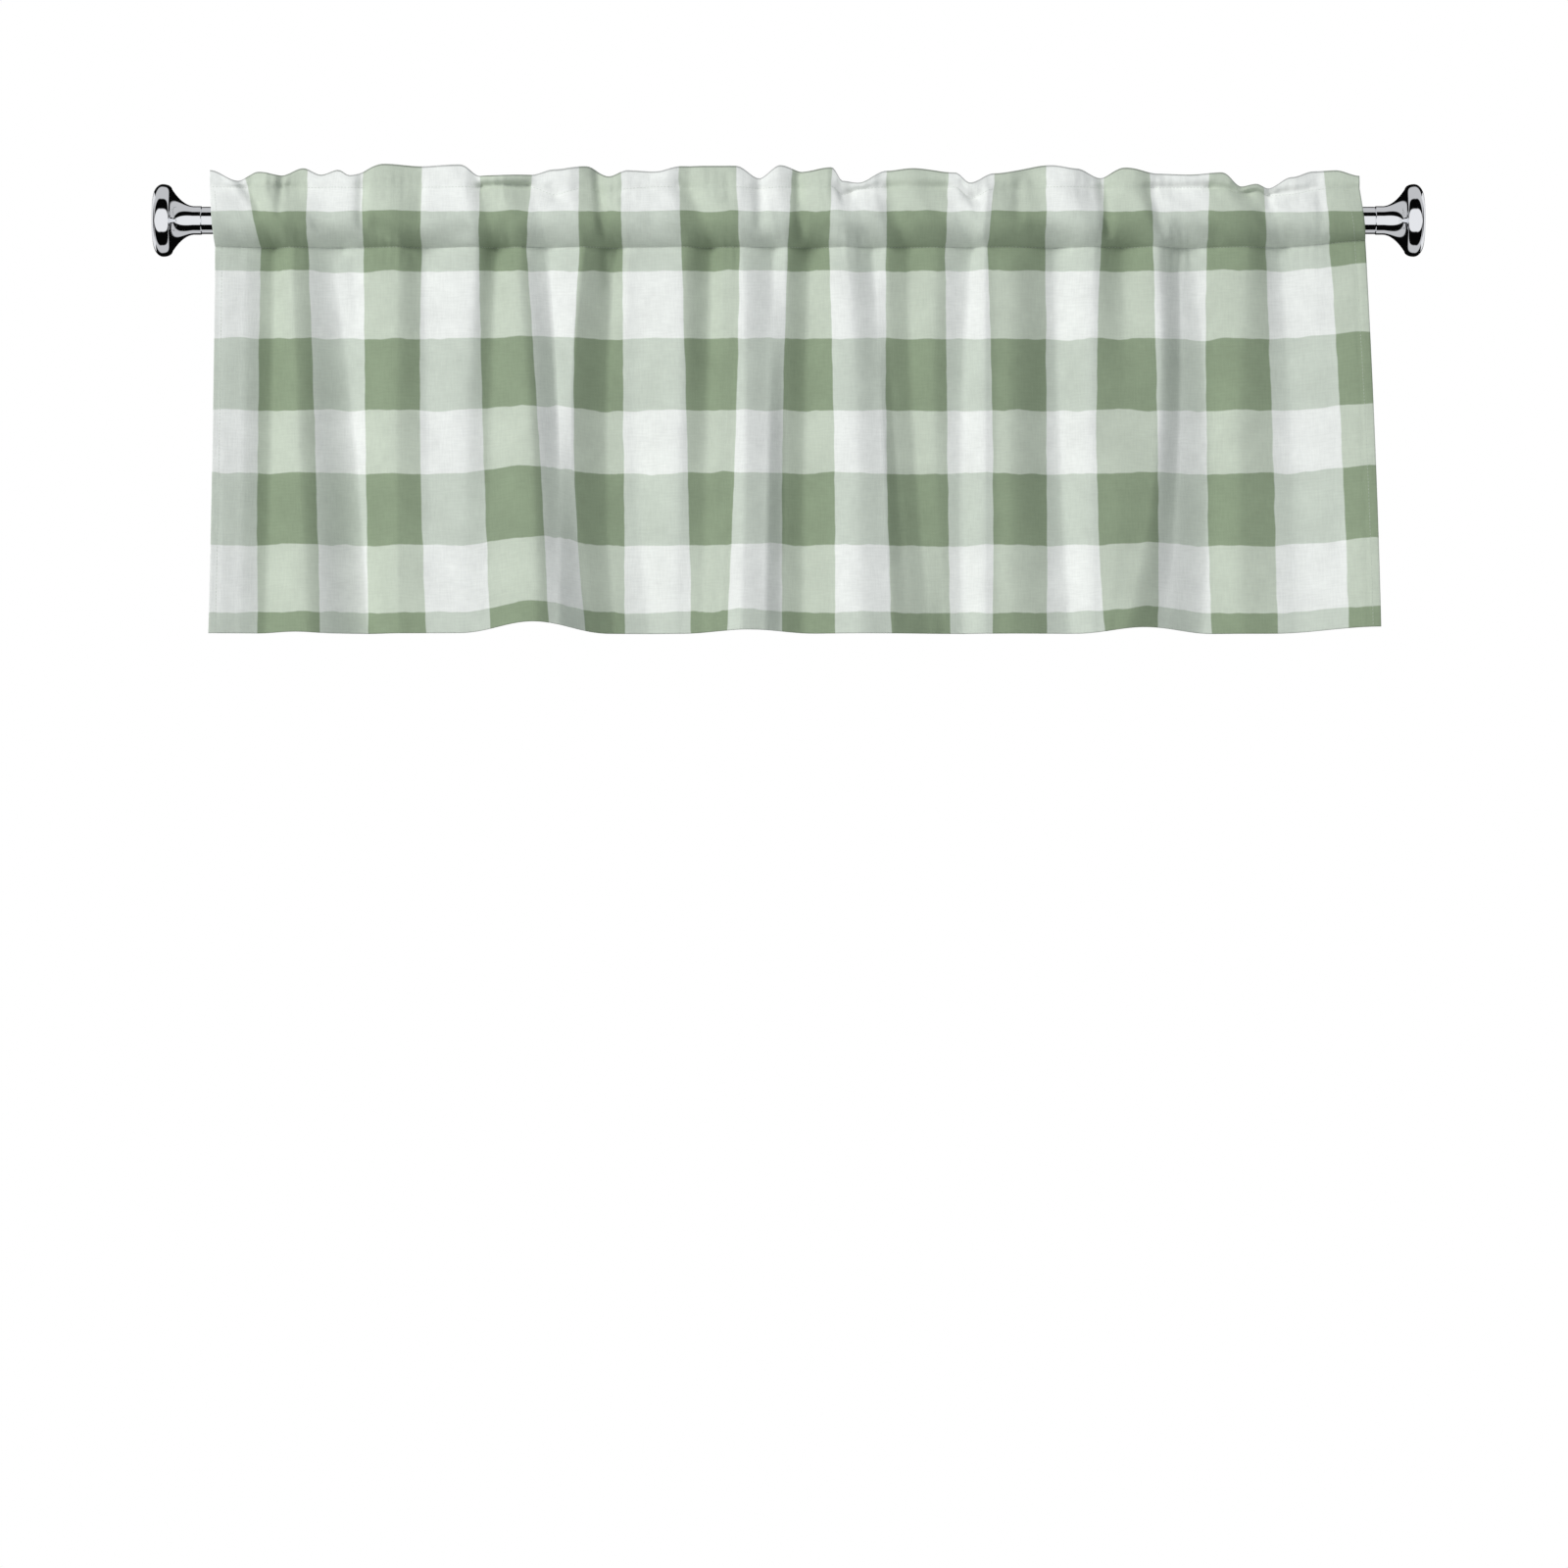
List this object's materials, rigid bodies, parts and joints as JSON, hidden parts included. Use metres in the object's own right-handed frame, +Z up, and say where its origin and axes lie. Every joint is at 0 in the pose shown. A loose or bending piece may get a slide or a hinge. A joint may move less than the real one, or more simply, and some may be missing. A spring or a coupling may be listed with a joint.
{
  "type": "window valance on a curtain rod",
  "caption": "Short gathered window valance in a check print, with a ruffled header and a rod pocket, hung on a chromed curtain rod that has a round flange at each end.",
  "frame": {"origin": "centre of the left finial's flat end face, on the rod's axis", "axes": "+X runs along the rod from left to right as seen from the room, -Y faces the room, +Z is up"},
  "size_m": [1.185, 0.0678, 0.4377],
  "materials": {
    "cloth": "matt printed cotton blend in a sage green and white check",
    "rod_metal": "polished chrome",
    "finial_metal": "polished chrome"
  },
  "bodies": {
    "root": {"valance": "cloth", "rod": "rod_metal", "finial_left": "finial_metal", "finial_right": "finial_metal"}
  },
  "joints": []
}
